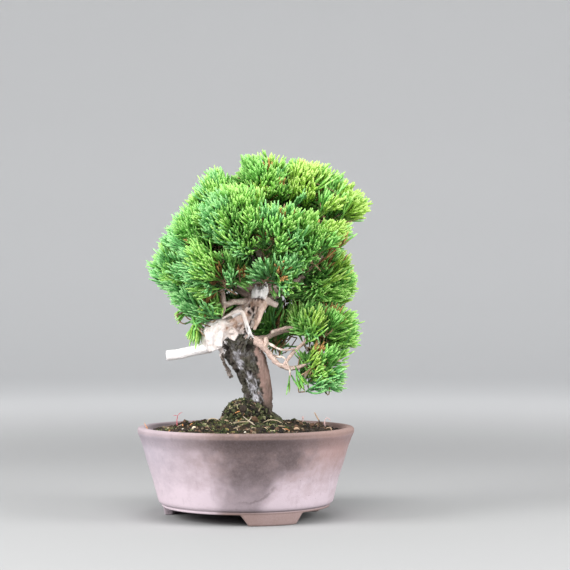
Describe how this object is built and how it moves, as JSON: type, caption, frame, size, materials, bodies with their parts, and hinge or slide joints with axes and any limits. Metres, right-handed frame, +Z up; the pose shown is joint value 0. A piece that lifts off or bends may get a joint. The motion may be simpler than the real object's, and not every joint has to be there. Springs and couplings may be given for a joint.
{
  "type": "juniper bonsai in a pot",
  "caption": "Small juniper bonsai with a leaning, partly bleached trunk and a dense rounded crown of scale-leaved shoots, in a round unglazed clay pot on low feet.",
  "frame": {"origin": "on the ground, under the middle of the whole plant with its pot", "axes": "+Z up; -Y towards the viewer of the pictured front; +X to the viewer's right"},
  "size_m": [0.129, 0.12, 0.1994],
  "materials": {
    "clay": "unglazed, matt, with a darker patina",
    "soil": "loose granules under patches of moss",
    "bark": "furrowed, flaking bark",
    "deadwood": "bare wood, bleached white",
    "foliage": "matt green scale leaves"
  },
  "bodies": {
    "root": {"pot": "clay", "soil": "soil", "trunk": "bark", "bleached_knob": "deadwood", "dead_branch": "deadwood", "broken_top": "deadwood", "hanging_snag": "deadwood", "thin_snag": "deadwood", "bark_strip": "deadwood", "left_bough": "bark", "right_low_bough": "bark", "right_fork_bough": "bark", "inner_bough": "bark", "right_upper_bough": "bark", "apex_right_bough": "bark", "apex_back_bough": "bark", "left_shoulder_bough": "bark", "right_shoulder_bough": "bark", "left_upper_bough": "bark", "left_mid_bough": "bark", "front_upper_left_bough": "bark", "front_upper_bough": "bark", "front_right_bough": "bark", "front_left_bough": "bark", "front_mid_bough": "bark", "back_upper_left_bough": "bark", "back_upper_right_bough": "bark", "back_left_bough": "bark", "back_mid_bough": "bark", "back_right_bough": "bark", "back_low_bough": "bark", "foliage_apex": "foliage", "foliage_apex_right": "foliage", "foliage_apex_back": "foliage", "foliage_left_shoulder": "foliage", "foliage_right_shoulder": "foliage", "foliage_left_upper": "foliage", "foliage_left_mid": "foliage", "foliage_left_low": "foliage", "foliage_front_upper_left": "foliage", "foliage_front_upper": "foliage", "foliage_front_right": "foliage", "foliage_front_left": "foliage", "foliage_front_mid": "foliage", "foliage_right_mid": "foliage", "foliage_right_low": "foliage", "foliage_right_skirt": "foliage", "foliage_inner_low": "foliage", "foliage_back_upper_left": "foliage", "foliage_back_upper_right": "foliage", "foliage_back_left": "foliage", "foliage_back_mid": "foliage", "foliage_back_right": "foliage", "foliage_back_low": "foliage"}
  },
  "joints": []
}
